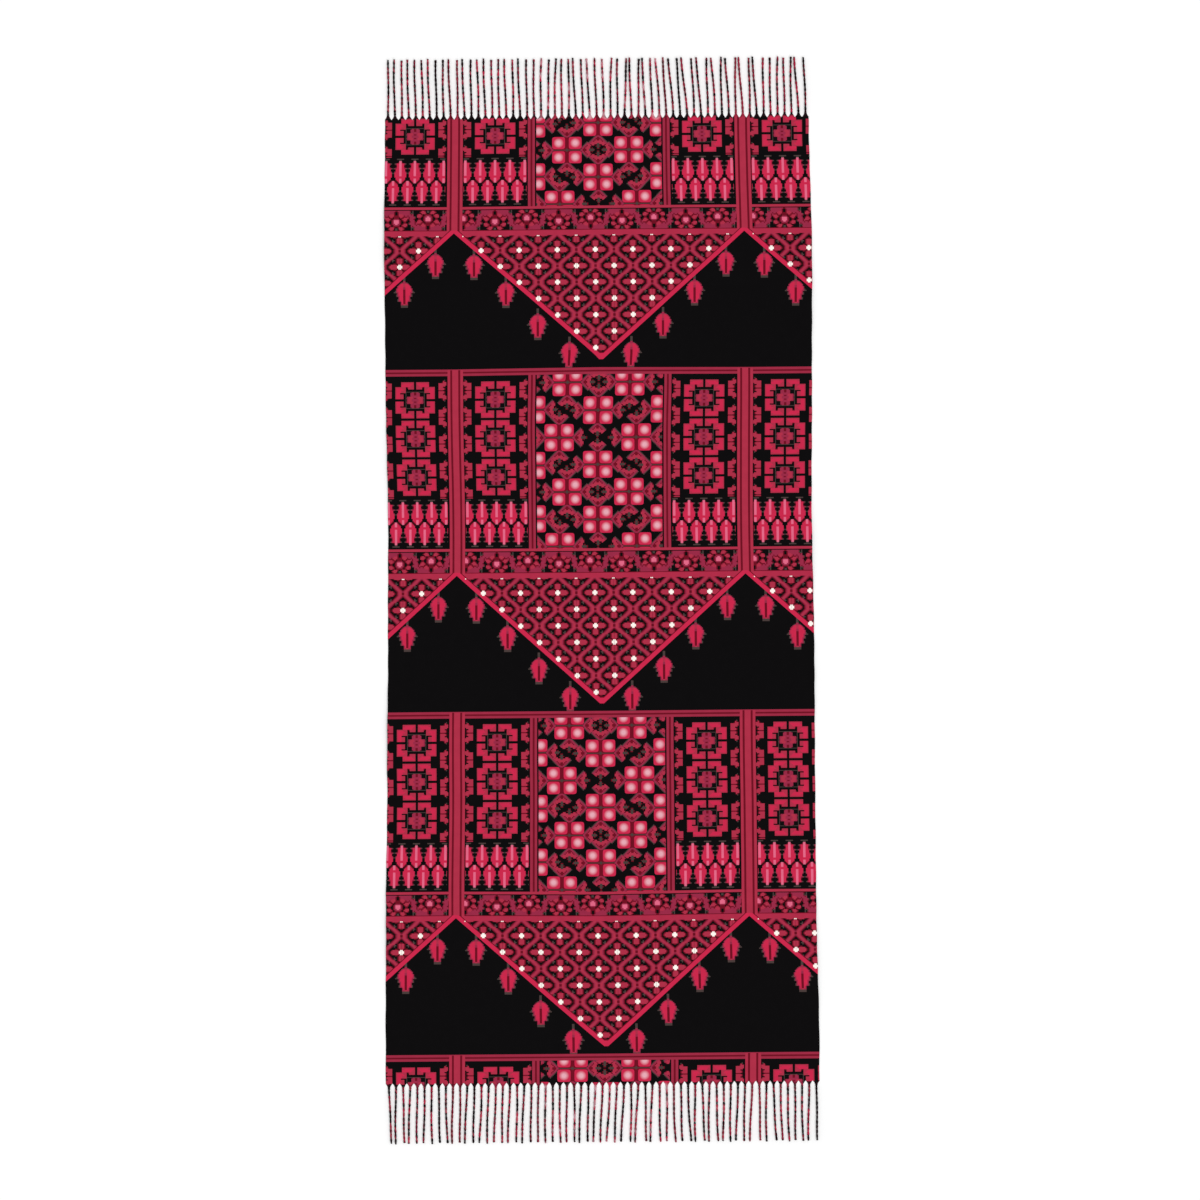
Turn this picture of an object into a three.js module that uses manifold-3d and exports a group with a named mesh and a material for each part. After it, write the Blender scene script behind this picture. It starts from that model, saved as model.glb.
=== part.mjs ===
// A long rectangular shawl with a twisted fringe at both ends, lying flat and face up.
// Millimetres. X runs across the shawl, +Y towards its far end, +Z up from the surface it lies on.
// The origin is at the bottom centre of the whole shawl.
import * as THREE from 'three';
import { mergeVertices } from 'three/addons/utils/BufferGeometryUtils.js';
import Module from 'manifold-3d';

const wasm = await Module();
wasm.setup();

// Driving sizes of the cloth.
const CLOTH_LENGTH = 1595;
const WALL = 1.2;
const CELLS_ACROSS = 16;
const CELLS_ALONG = 40;

// The woven panel isn't quite straight: it waists in the middle and flares at the near end.
// Each row is a station, measured from the far end, with the reach to either side of the axis.
const SIDE_STATIONS = [
  { fromFar: 0, left: 347.2, right: 351.8 },
  { fromFar: 220, left: 350.0, right: 355.6 },
  { fromFar: 437, left: 349.5, right: 354.0 },
  { fromFar: 655, left: 347.0, right: 351.8 },
  { fromFar: 873, left: 348.8, right: 354.4 },
  { fromFar: 1091, left: 351.7, right: 354.2 },
  { fromFar: 1308, left: 355.3, right: 354.5 },
  { fromFar: 1526, left: 357.6, right: 358.0 },
  { fromFar: CLOTH_LENGTH, left: 358.0, right: 357.5 },
];

// Soft swells where the selvedges don't lie quite down, a row for each.
// reach is how far the swell runs in from its edge, halfLength its half extent along the edge.
const SWELLS = [
  { side: -1, fromFar: 205, halfLength: 130, reach: 95, rise: 3.2 },
  { side: -1, fromFar: 560, halfLength: 150, reach: 120, rise: 2.2 },
  { side: -1, fromFar: 1010, halfLength: 120, reach: 80, rise: 3.6 },
  { side: -1, fromFar: 1330, halfLength: 140, reach: 110, rise: 2.6 },
  { side: 1, fromFar: 300, halfLength: 150, reach: 110, rise: 2.8 },
  { side: 1, fromFar: 700, halfLength: 115, reach: 75, rise: 3.4 },
  { side: 1, fromFar: 930, halfLength: 110, reach: 130, rise: 2.0 },
  { side: 1, fromFar: 1390, halfLength: 150, reach: 100, rise: 3.0 },
];

// Driving sizes of the fringe at each end.
const SEAM_GAP = 0.3;
const STRIP_DEPTH = 2.4;
const STRANDS = 61;
const STRAND_REACH = 97;
const STRAND_WIDTH = 3.4;
const STRAND_HEIGHT = 2.6;
const FLOOR_GAP = 0.3;
const ROOT_WIDTH = 10.4;
const ROOT_HEIGHT = 1.0;
const OUTER_STRAND_INSET = 5.2;
const TIP_UNEVENNESS = 2.2;
const SWAY = 1.5;

// Stations along a strand, from inside the strip to the tip. along is the distance from the
// strip's inner edge, gather says how far the root has drawn in to the strand's own section.
const STRAND_STATIONS = [
  { along: 1.2, gather: 0 },
  { along: 3.2, gather: 0.12 },
  { along: 6.4, gather: 0.84 },
  { along: 12, gather: 1 },
  { along: 31, gather: 1 },
  { along: 53, gather: 1 },
  { along: 76, gather: 1 },
  { along: STRAND_REACH, gather: 1 },
];

// How the strands lean, a row for each stretch of the fringe, counted from the left-hand strand.
// lean is the tip's sideways shift, pairing draws neighbours together, stray is the unevenness.
const FAR_LEANS = [
  { strand: 0, lean: 1.2, pairing: 0.4, stray: 0.6 },
  { strand: 4, lean: -1.2, pairing: 0.3, stray: 1.6 },
  { strand: 12, lean: -1.0, pairing: 0.5, stray: 2.0 },
  { strand: 20, lean: -1.2, pairing: 0.6, stray: 1.2 },
  { strand: 23, lean: 3.0, pairing: 0.5, stray: 1.0 },
  { strand: 29, lean: -4.0, pairing: 1.0, stray: 1.4 },
  { strand: 33, lean: 2.6, pairing: 2.2, stray: 1.4 },
  { strand: 39, lean: -4.4, pairing: 1.6, stray: 1.6 },
  { strand: 42, lean: -7.2, pairing: 1.4, stray: 1.2 },
  { strand: 48, lean: -2.6, pairing: 2.9, stray: 1.0 },
  { strand: 53, lean: -3.4, pairing: 2.4, stray: 1.0 },
  { strand: 56, lean: 0.8, pairing: 1.2, stray: 1.2 },
  { strand: 60, lean: -4.6, pairing: 2.2, stray: 0.8 },
];
const NEAR_LEANS = [
  { strand: 0, lean: 2.6, pairing: 1.8, stray: 0.8 },
  { strand: 4, lean: -2.0, pairing: 1.2, stray: 1.4 },
  { strand: 7, lean: 2.2, pairing: 0.4, stray: 1.0 },
  { strand: 11, lean: -2.8, pairing: 1.0, stray: 1.2 },
  { strand: 19, lean: -2.4, pairing: 0.8, stray: 1.0 },
  { strand: 24, lean: 0.6, pairing: 1.0, stray: 1.4 },
  { strand: 31, lean: -4.6, pairing: 1.0, stray: 1.0 },
  { strand: 36, lean: -1.8, pairing: 2.4, stray: 1.6 },
  { strand: 41, lean: 3.2, pairing: 1.2, stray: 1.2 },
  { strand: 46, lean: 1.0, pairing: 1.8, stray: 1.4 },
  { strand: 50, lean: -3.4, pairing: 1.2, stray: 1.2 },
  { strand: 54, lean: 3.4, pairing: 1.2, stray: 1.6 },
  { strand: 60, lean: -0.2, pairing: 1.4, stray: 1.2 },
];

// Value of one column of a table at a place between its rows, by a smooth curve through them.
function tableCurve(rows, placeColumn, valueColumn) {
  const points = rows.map((row) => new THREE.Vector2(row[placeColumn], row[valueColumn]));
  return (place) => {
    const next = points.findIndex((point) => point.x >= place);
    const last = Math.max(1, next < 0 ? points.length - 1 : next);
    const before = points[last - 1];
    const after = points[last];
    const share = THREE.MathUtils.clamp((place - before.x) / (after.x - before.x), 0, 1);
    return THREE.MathUtils.lerp(before.y, after.y, share * share * (3 - 2 * share));
  };
}

const leftReach = tableCurve(SIDE_STATIONS, 'fromFar', 'left');
const rightReach = tableCurve(SIDE_STATIONS, 'fromFar', 'right');

// Half a cosine wave: 1 in the middle, 0 from a distance of 1 outwards.
function bump(distance) {
  return Math.abs(distance) < 1 ? 0.5 + 0.5 * Math.cos(Math.PI * distance) : 0;
}

// Height of the cloth's underside over the surface it lies on.
function liftAt(x, fromFar) {
  return SWELLS.reduce((height, swell) => {
    const edge = swell.side < 0 ? -leftReach(fromFar) : rightReach(fromFar);
    const inward = Math.min(1, Math.abs(edge - x) / swell.reach);
    return height + swell.rise * bump((fromFar - swell.fromFar) / swell.halfLength) * bump(inward);
  }, 0);
}

// A closed solid from rings of points. Each ring has the same number of points, turns
// anticlockwise seen from the end of the row of rings, and the two end rings are capped.
function loft(rings) {
  const count = rings[0].length;
  const positions = rings.flat().flatMap((point) => [point.x, point.y, point.z]);
  const faces = [];
  for (let ring = 0; ring + 1 < rings.length; ring += 1) {
    for (let corner = 0; corner < count; corner += 1) {
      const a = ring * count + corner;
      const b = ring * count + ((corner + 1) % count);
      faces.push(a, b, b + count, a, b + count, a + count);
    }
  }
  const lastRing = (rings.length - 1) * count;
  for (let corner = 1; corner + 1 < count; corner += 1) {
    faces.push(0, corner + 1, corner);
    faces.push(lastRing, lastRing + corner, lastRing + corner + 1);
  }
  const geometry = new THREE.BufferGeometry();
  geometry.setAttribute('position', new THREE.Float32BufferAttribute(positions, 3));
  geometry.setIndex(faces);
  return geometry;
}

function toSolid(geometry) {
  const merged = mergeVertices(geometry);
  return new wasm.Manifold(new wasm.Mesh({
    numProp: 3,
    vertProperties: new Float32Array(merged.attributes.position.array),
    triVerts: new Uint32Array(merged.index.array),
  }));
}

function fromSolid(solid) {
  const mesh = solid.getMesh();
  const geometry = new THREE.BufferGeometry();
  geometry.setAttribute('position', new THREE.BufferAttribute(mesh.vertProperties, 3));
  geometry.setIndex(new THREE.BufferAttribute(mesh.triVerts, 1));
  return geometry;
}

function namedMesh(name, geometry, material) {
  geometry.computeVertexNormals();
  const mesh = new THREE.Mesh(geometry, material);
  mesh.name = name;
  return mesh;
}

// The woven panel: a box whose points are carried out to the side stations and lifted by the
// swells, so the wall keeps its thickness everywhere. fromFar runs from 0 to the cloth's length.
function clothPanel(material) {
  const box = new THREE.BoxGeometry(1, 1, WALL, CELLS_ACROSS, CELLS_ALONG, 1);
  box.deleteAttribute('normal');
  box.deleteAttribute('uv');
  const geometry = mergeVertices(box);
  const position = geometry.attributes.position;
  for (let index = 0; index < position.count; index += 1) {
    const across = position.getX(index) + 0.5;
    const fromFar = (0.5 - position.getY(index)) * CLOTH_LENGTH;
    const x = THREE.MathUtils.lerp(-leftReach(fromFar), rightReach(fromFar), across);
    const z = position.getZ(index) + WALL / 2 + liftAt(x, fromFar);
    position.setXYZ(index, x, CLOTH_LENGTH / 2 - fromFar, z);
  }
  return namedMesh('cloth_panel', geometry, material);
}

// Sideways path of one strand: its lean grows towards the tip, with a slight S on the way.
function strandShift(share, lean, swing, phase) {
  const sCurve = Math.sin(Math.PI * (1.5 * share + phase)) - Math.sin(Math.PI * phase);
  return lean * share ** 1.4 + swing * share * (1 - 0.4 * share) * sCurve;
}

// One strand: four-sided rings, wide and flat where the cloth's yarns are gathered, then
// narrowing to the twisted strand. outward is +1 at the far end and -1 at the near end.
function strandGeometry(rootX, edgeY, outward, lean, phase) {
  const shorter = TIP_UNEVENNESS * (0.5 + 0.5 * Math.sin(phase * 7));
  const rings = STRAND_STATIONS.map(({ along, gather }) => {
    const share = along / STRAND_REACH;
    const x = rootX + strandShift(share, lean, SWAY, phase);
    const y = edgeY + outward * (SEAM_GAP + along - shorter * share ** 4);
    const halfWidth = THREE.MathUtils.lerp(ROOT_WIDTH, STRAND_WIDTH, gather) / 2;
    const halfHeight = THREE.MathUtils.lerp(ROOT_HEIGHT, STRAND_HEIGHT, gather) / 2;
    const z = FLOOR_GAP + halfHeight;
    return [
      new THREE.Vector3(x + halfWidth, y, z),
      new THREE.Vector3(x, y, z - outward * halfHeight),
      new THREE.Vector3(x - halfWidth, y, z),
      new THREE.Vector3(x, y, z + outward * halfHeight),
    ];
  });
  return loft(rings);
}

// The narrow strip that carries a fringe, just off the cloth's end, straight across.
function stripGeometry(left, right, edgeY, outward) {
  const strip = new THREE.BoxGeometry(right + left, STRIP_DEPTH, WALL);
  strip.deleteAttribute('normal');
  strip.deleteAttribute('uv');
  const y = edgeY + outward * (SEAM_GAP + STRIP_DEPTH / 2);
  return strip.translate((right - left) / 2, y, WALL / 2);
}

function fringe(name, fromFar, outward, leans, material) {
  const left = leftReach(fromFar);
  const right = rightReach(fromFar);
  const edgeY = CLOTH_LENGTH / 2 - fromFar;
  const leanAt = tableCurve(leans, 'strand', 'lean');
  const pairingAt = tableCurve(leans, 'strand', 'pairing');
  const strayAt = tableCurve(leans, 'strand', 'stray');
  const pitch = (left + right - 2 * OUTER_STRAND_INSET) / (STRANDS - 1);
  let solid = toSolid(stripGeometry(left, right, edgeY, outward));
  for (let strand = 0; strand < STRANDS; strand += 1) {
    const rootX = -left + OUTER_STRAND_INSET + strand * pitch;
    const phase = (strand * 0.618034) % 1;
    const pairing = strand % 2 === 0 ? pairingAt(strand) : -pairingAt(strand);
    const stray = strayAt(strand) * Math.sin(2 * Math.PI * phase);
    const lean = leanAt(strand) + pairing + stray;
    solid = solid.add(toSolid(strandGeometry(rootX, edgeY, outward, lean, phase)));
  }
  return namedMesh(name, fromSolid(solid), material);
}

const clothMaterial = new THREE.MeshStandardMaterial({ color: 0x141014, roughness: 0.9, metalness: 0 });
const fringeMaterial = new THREE.MeshStandardMaterial({ color: 0x6a1230, roughness: 0.85, metalness: 0 });

const shawl = new THREE.Group();
shawl.add(clothPanel(clothMaterial));
shawl.add(fringe('fringe_far', 0, 1, FAR_LEANS, fringeMaterial));
shawl.add(fringe('fringe_near', CLOTH_LENGTH, -1, NEAR_LEANS, fringeMaterial));

// The whole shawl is set so that its origin is at the bottom centre of its box.
const bounds = new THREE.Box3().setFromObject(shawl);
const centre = bounds.getCenter(new THREE.Vector3());
shawl.position.set(-centre.x, -centre.y, -bounds.min.z);

export default shawl;
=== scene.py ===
import logging
import math
from dataclasses import dataclass
from enum import Enum

import bpy
import numpy as np
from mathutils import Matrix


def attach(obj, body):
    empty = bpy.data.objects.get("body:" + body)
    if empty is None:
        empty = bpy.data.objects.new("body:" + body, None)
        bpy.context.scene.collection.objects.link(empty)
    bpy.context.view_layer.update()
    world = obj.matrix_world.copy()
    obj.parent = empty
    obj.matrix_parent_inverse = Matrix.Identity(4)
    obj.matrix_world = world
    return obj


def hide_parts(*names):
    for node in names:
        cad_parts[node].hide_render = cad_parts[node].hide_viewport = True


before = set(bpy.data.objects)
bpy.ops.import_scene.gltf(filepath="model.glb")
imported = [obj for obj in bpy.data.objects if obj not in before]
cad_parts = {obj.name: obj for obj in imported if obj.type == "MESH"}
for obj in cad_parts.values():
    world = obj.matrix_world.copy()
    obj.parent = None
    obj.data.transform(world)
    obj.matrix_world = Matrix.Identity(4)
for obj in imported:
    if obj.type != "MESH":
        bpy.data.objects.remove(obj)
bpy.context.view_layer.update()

MM = 0.001
Rows = tuple[tuple[float, ...], ...]
Span = tuple[float, float]
Value = "Field | float"

log = logging.getLogger("shawl")


def linear_colour(hex_code: str) -> tuple[float, float, float, float]:
    """Turn an sRGB hex value into the linear colour that a shader socket takes.

    Args:
        hex_code: six hex digits, red, green and blue.

    Returns:
        Linear red, green, blue and an alpha of one.
    """
    parts = [int(hex_code[start:start + 2], 16) / 255 for start in (0, 2, 4)]
    return (*(p / 12.92 if p <= 0.04045 else ((p + 0.055) / 1.055) ** 2.4 for p in parts), 1.0)


def add_node(tree: bpy.types.NodeTree, kind: str, inputs: dict, **settings: object) -> bpy.types.Node:
    """Add one node, set its properties, and fill or link its inputs.

    Args:
        tree: the node tree that the node goes into.
        kind: Blender's name of the node's type.
        inputs: a value, socket or field for each input, by its name or place.
        settings: the node's own properties.

    Returns:
        The new node.
    """
    node = tree.nodes.new(kind)
    for name, setting in settings.items():
        setattr(node, name, setting)
    for place, value in inputs.items():
        source = value.socket if isinstance(value, Field) else value
        if isinstance(source, bpy.types.NodeSocket):
            tree.links.new(source, node.inputs[place])
        else:
            node.inputs[place].default_value = source
    return node


@dataclass(frozen=True)
class Field:
    """A number that varies over the surface: the output of one shader node, with plain arithmetic."""

    socket: bpy.types.NodeSocket

    def __add__(self, other: Value) -> "Field":
        """This field plus another field or number."""
        return calc("ADD", self, other)

    def __sub__(self, other: Value) -> "Field":
        """This field less another field or number."""
        return calc("SUBTRACT", self, other)

    def __rsub__(self, other: float) -> "Field":
        """A number less this field."""
        return calc("SUBTRACT", other, self)

    def __mul__(self, other: Value) -> "Field":
        """This field times another field or number."""
        return calc("MULTIPLY", self, other)

    def __gt__(self, other: Value) -> "Field":
        """One where this field is the greater, otherwise nought."""
        return calc("GREATER_THAN", self, other)

    def __lt__(self, other: Value) -> "Field":
        """One where this field is the less, otherwise nought."""
        return calc("LESS_THAN", self, other)

    def __abs__(self) -> "Field":
        """This field without its sign."""
        return calc("ABSOLUTE", self)

    def within(self, low: float, high: float) -> "Field":
        """One where this field lies from low to high, otherwise nought."""
        return calc("COMPARE", self, (low + high) / 2, (high - low) / 2)

    def mirrored(self, centre: float, reach: float) -> "Field":
        """Distance from a mirror line at centre, with the next mirror line at reach from it."""
        return calc("PINGPONG", self - centre, reach)


def calc(operation: str, *terms: Value) -> Field:
    """Work out one Math node.

    Args:
        operation: the Math node's operation.
        terms: its inputs in order, at least one of them a field.

    Returns:
        The result as a field.
    """
    tree = next(term.socket.id_data for term in terms if isinstance(term, Field))
    node = add_node(tree, "ShaderNodeMath", dict(enumerate(terms)), operation=operation)
    return Field(node.outputs[0])


def lay_over(below: Value, mask: Field, above: Value) -> Field:
    """Show one field over another where a mask is one: below + mask x (above - below)."""
    return calc("MULTIPLY_ADD", mask, above - below, below)


def mix_colour(fac: Field, first: object, second: object, blend: str = "MIX") -> bpy.types.NodeSocket:
    """Mix two colours by a field.

    Args:
        fac: nought for the first, one for the second.
        first: a colour or a colour socket.
        second: a colour or a colour socket.
        blend: the Mix node's way of blending.

    Returns:
        The mixed colour socket.
    """
    node = add_node(fac.socket.id_data, "ShaderNodeMix", {0: fac, 6: first, 7: second},
                    data_type="RGBA", blend_type=blend)
    return node.outputs[2]


class Ink(Enum):
    """The print's colours as sRGB hex, each with the letter that stands for it in the charts."""

    GROUND = (".", "0B0A0B")
    CRIMSON = ("c", "C12648")
    WINE = ("w", "912843")
    DARK_RED = ("d", "690F20")
    GREY_BROWN = ("g", "463937")
    PINK = ("p", "D76481")
    WHITE = ("W", "F6EEE6")
    MUTED_RED = ("m", "A62D44")
    RULE_RED = ("r", "A72A44")
    NARROW_RED = ("n", "962940")

    @property
    def number(self) -> int:
        """Place of the ink in the palette. Charts can hold the first eight, from nought to seven."""
        return list(Ink).index(self)


RAMP_STOPS = 32
INK_BITS = 3


def constant_ramp(fac: Field, colours: list[tuple[float, ...]], steps: int) -> bpy.types.NodeSocket:
    """Pick one of a few colours by a field, with a colour ramp of constant steps.

    Args:
        fac: nought to one.
        colours: one colour for each step, from the first on.
        steps: how many equal steps nought to one is cut into.

    Returns:
        The ramp's colour socket.
    """
    node = add_node(fac.socket.id_data, "ShaderNodeValToRGB", {"Fac": fac})
    ramp = node.color_ramp
    ramp.interpolation = "CONSTANT"
    last = None
    for step, colour in enumerate(colours):
        if colour == last:
            continue
        stop = ramp.elements[0] if step == 0 else ramp.elements.new(step / steps)
        stop.color = colour
        last = colour
    ramp.elements[-1].color = last
    return node.outputs["Color"]


@dataclass(frozen=True)
class Chart:
    """A motif charted on squared paper, half or a quarter of it, in letters of Ink.

    Each row is held in one stop of a colour ramp: the red, green and blue of the stop are the
    three bits of the ink's number, and the cells of the row are the digits after the point of a
    binary fraction. The shader doubles the fraction once for each column and keeps the last digit.
    """

    cell_across: float
    cell_along: float
    rows: tuple[str, ...]

    def read(self, across: Field, along: Field) -> Field:
        """Ink number of the cell at a place.

        Args:
            across: mm from the motif's axis, or from its first column.
            along: mm from the first row.

        Returns:
            The ink's number, and the ground's beyond the chart's last row and column.
        """
        bare = "." * len(self.rows[0])
        fractions = []
        for row in (bare, *self.rows, bare):
            numbers = [next(ink.number for ink in Ink if ink.value[0] == letter) for letter in row]
            fractions.append((*(
                sum((number >> bit & 1) / 2 ** (column + 1) for column, number in enumerate(numbers))
                for bit in range(INK_BITS)), 1.0))
        row_number = calc("FLOOR", calc("DIVIDE", along, self.cell_along))
        digits = constant_ramp((row_number + 1.5) * (1 / RAMP_STOPS), fractions, RAMP_STOPS)
        column_number = calc("FLOOR", calc("DIVIDE", across, self.cell_across))
        shift = calc("POWER", 2.0, calc("MINIMUM", column_number + 1.0, len(bare) + 2.0))
        tree = across.socket.id_data
        shifted = add_node(tree, "ShaderNodeVectorMath", {0: digits, "Scale": shift}, operation="SCALE")
        wrapped = add_node(tree, "ShaderNodeVectorMath",
                           {0: shifted.outputs[0], 1: (2.0, 2.0, 2.0)}, operation="MODULO")
        bits = add_node(tree, "ShaderNodeVectorMath", {0: wrapped.outputs[0]}, operation="FLOOR")
        number = add_node(tree, "ShaderNodeVectorMath",
                          {0: bits.outputs[0], 1: (1.0, 2.0, 4.0)}, operation="DOT_PRODUCT")
        return Field(number.outputs["Value"])


ROSETTE = Chart(1.95, 2.01, (
    "wwwmmmw..........",
    "dwmmmmwd..mmmcccm",
    "wwmmmww...mmmcccm",
    "wwww......mmmcccm",
    "dwww......mmmcccm",
    "dwww.........cccm",
    "dww.....mmmmccccm",
    "........mmmmccccm",
    "........mmccccccm",
    ".mmmmm..mmmcccccm",
    ".mmmmmd.mmmmmmmmm",
    ".mmmcccccccc.....",
    ".mmccccccccc.....",
    ".mccccccccmm.....",
    ".mmmmmmmmmmm.....",
))

BRACKET = Chart(1.89, 1.92, (
    "...dddd",
    ".dmmmmm",
    ".dmmmmm",
    "...mmmm",
    ".mmmmmm",
    "mmmmmmm",
    "mmmmmmm",
    "mmmd...",
    ".dm....",
    ".g.....",
))

TREE = Chart(1.985, 1.965, (
    "ggg...",
    "g.....",
    "p.....",
    "pd....",
    "pccwg.",
    "pccd..",
    "pcc...",
    "pccd..",
    "pccwwg",
    "pccc..",
    "pccc..",
    "pcccw.",
    "pccccg",
    "pcccc.",
    "pcccc.",
    "ccccc.",
    "cccc..",
    "pccc..",
    "pccd..",
    "pcd...",
    "pd....",
))

FLOWER_STRIP = Chart(1.99, 1.99, (
    "dwwwwwwwwwwd.",
    ".dwwwwwwwwwg.",
    ".dwwwwwwwwwdg",
    ".dmmmwwwwwwwd",
    "ddmmmmdwwdwww",
    "dddmmddddwdww",
    "dd.dddmmmwdww",
    "wwd.dmmmm.dww",
    "ppwd.dmmd..ww",
    "ppwd..dd...dw",
    "ppwd..dd..dww",
    "pwwd.dmmm.gww",
    "wwd.dmmmm...w",
    "ddd.ddmmd...w",
    ".dmmmd......g",
    "g.mmmmd.....g",
    "g.dmmd......g",
))

CHEVRON_FILL = Chart(2.04, 2.1, (
    "WWmmmmmmd.dwmmd",
    "Wdmmmmmd..dwmmw",
    "md.dd....dwmmwd",
    "mmd.....dwmmwd.",
    "mmd..g.dwmmwd..",
    "mmd.ggdwmmwd..d",
    "mmd..wmmmw..dmm",
    "d..dwmmwdgg.dmm",
    "..dwmmwd.g..dmm",
    ".dwmmwd.....dmm",
    "dwmmwd....dd.dm",
    "wmmwd..dmmmmmdW",
    "dmmwd.dmmmmmmWW",
))

LEAF = Chart(1.95, 2.0, (
    "g........",
    "g........",
    "g........",
    "g........",
    "w........",
    "wwg......",
    "mccw.....",
    "mcccw....",
    "mccccw...",
    "wccccw...",
    "wcccccw..",
    "dcccccw..",
    "dcccccwg.",
    "dccccwwgg",
    "dccccw...",
    "dccccwg..",
    "dcccwwg..",
    "dcccw....",
    "dcccw....",
    "dcccwg...",
    "dccwwg...",
    "dcw......",
    "dcw......",
    "mww......",
    "ggg......",
    "ggg......",
))

ARROW = Chart(2.05, 2.05, (
    "w.......",
    "wwg.....",
    "dwwg....",
    "ddwwg...",
    "dmdwwg..",
    "mmmdwwg.",
    "mmmmmwwg",
    "gmmmmmw.",
    "g..mmd..",
    "gd......",
    "g.......",
    "d.......",
))


@dataclass(frozen=True)
class ShawlPrint:
    """The traditional repeat of the print, in mm on the cloth.

    across runs from the left selvedge and is scaled so that the cloth is 700 wide, and along runs
    from the far edge. The repeat is 476 wide and 565.9 long, and mirrored left to right.
    """

    axis: float = 350.5
    half_repeat: float = 238.0
    first_rule: float = 413.6
    repeat: float = 565.9
    pale_pink: str = "DDA3AE"

    # Level rules, from the repeat's first rule. A line is the darker stripe inside a rule or band.
    top_rule: float = 10.8
    top_line: Span = (4.1, 6.8)
    panels_end: float = 298.0
    thin_rule: float = 4.3
    strip_start: float = 303.7
    strip_end: float = 337.3
    fill_start: float = 346.7
    thick_rule_rim: float = 1.2

    # Upright bands: wide ones at the repeat's sides, narrow ones beside the centre panel.
    wide_axis: float = 351.4
    wide_half: float = 12.8
    wide_line: Span = (5.0, 8.3)
    band_start: float = 1.2
    narrow_shift: float = 0.25
    narrow_inner: float = 105.9
    narrow_outer: float = 117.5
    narrow_line: Span = (110.0, 113.1)
    panel_gap: float = 2.3

    # Centre panel: where groups of squares stand, and the straight lines that part them.
    panel_shift: float = 2.5
    panel_middle: float = 114.2
    panel_reach: float = 90.35
    side_group: float = 63.5
    upper_group: float = 44.6
    far_step: Span = (47.5, 46.0)
    upper_far_step: Span = (51.2, 45.75)
    upper_slope: float = 0.845
    far_direction: Span = (0.746, 0.667)
    far_from: float = 80.4
    upper_far_from: float = 64.1
    arrow_start: float = 19.9
    arrow_offset: float = 2.0
    ground_reach: float = 21.5
    cross_reach: float = 22.5
    cross_bar: float = 0.7
    cross_knot: Span = (1.6, 2.4)
    square_at: Span = (13.6, 12.1)
    square_scale: Span = (0.095, 0.098)
    square_power: float = 6.0
    glow_radius: float = 8.3
    glow_slope: float = 0.18

    # Side panels: rosettes, brackets and trees on one axis.
    side_axis: float = 171.4
    rosette_middle: float = 50.6
    rosette_reach: float = 32.15
    rosette_half: float = 33.2
    rosettes: Span = (18.4, 211.6)
    line_half: Span = (15.4, 13.7)
    line_share: float = 0.035
    bracket_middle: float = 34.9
    bracket_reach: float = 22.17
    bracket_lead: float = 0.96
    bracket_inner: float = 39.4
    bracket_outer: float = 52.6
    brackets: Span = (14.0, 214.5)
    trees_middle: float = 255.6
    trees_half: Span = (51.5, 39.3)
    tree_pitch: float = 12.15
    tree_split: float = 4.6
    tree_slope: float = 0.767

    # Flower strip and filler, both drawn out a little to the right of the axis.
    drawn_out_from: float = 25.0
    drawn_out: float = 0.025
    flower_axis: float = -68.2
    flower_pitch: float = 51.7
    blossom_axis: float = -9.5
    blossom_top: float = 371.4
    blossom_reach: Span = (30.75, 27.3)

    # The chevron's edge, and the leaves that hang under it.
    tip: float = 553.6
    edge_start: float = 556.4
    edge_slope: float = 0.9
    edge_line: float = 9.3
    edge_height: float = 11.1
    dot_start: float = 4.0
    leaf_axis: float = 348.6
    first_leaf: float = 50.1
    leaf_spacing: float = 51.2
    leaf_top: float = 516.7
    leaf_rise: float = 47.07
    upper_leaf_rise: float = 6.2
    right_shift: float = 1.5
    right_spread: float = 1.3
    right_rise: Span = (0.2, 0.7)

    def centre_panel(self, signed: Field, down: Field) -> tuple[Field, Field]:
        """Groups of four glowing squares with arrow heads on their four sides, on two diagonals.

        Args:
            signed: mm to the right of the repeat's axis.
            down: mm below the repeat's first rule.

        Returns:
            The ink's number, and how far it turns to pale pink.
        """
        x = abs(signed + self.panel_shift)
        y = down.mirrored(self.panel_middle, self.panel_reach)
        upper = y > x * self.upper_slope
        outward = x * self.far_direction[0] + y * self.far_direction[1]
        far = outward > lay_over(self.far_from, upper, self.upper_far_from)
        step_x = lay_over(self.far_step[0], upper, self.upper_far_step[0])
        step_y = lay_over(self.far_step[1], upper, self.upper_far_step[1])
        from_x = abs(x - (lay_over(self.side_group, upper, 0.0) + far * step_x))
        from_y = abs(y - (upper * self.upper_group + far * step_y))
        arrow = ARROW.read(calc("MINIMUM", from_x, from_y),
                           calc("MAXIMUM", from_x - self.arrow_offset, from_y) - self.arrow_start)
        reach = calc("MAXIMUM", from_x, from_y)
        ink = lay_over(arrow, reach < self.ground_reach, float(Ink.DARK_RED.number))
        knot = (from_x < self.cross_knot[0]) * (from_y < self.cross_knot[1])
        cross = calc("MAXIMUM", from_y < self.cross_bar, knot) * (reach < self.cross_reach)
        ink = lay_over(ink, cross, float(Ink.GREY_BROWN.number))
        off_x = from_x - self.square_at[0]
        off_y = from_y - self.square_at[1]
        rounded = (calc("POWER", abs(off_x) * self.square_scale[0], self.square_power)
                   + calc("POWER", abs(off_y) * self.square_scale[1], self.square_power))
        ink = lay_over(ink, rounded < 1.0, float(Ink.CRIMSON.number))
        radius = calc("SQRT", off_x * off_x + off_y * off_y)
        glow = (self.glow_radius - radius) * self.glow_slope
        return ink, calc("MINIMUM", calc("MAXIMUM", glow, 0.0), 1.0)

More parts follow.
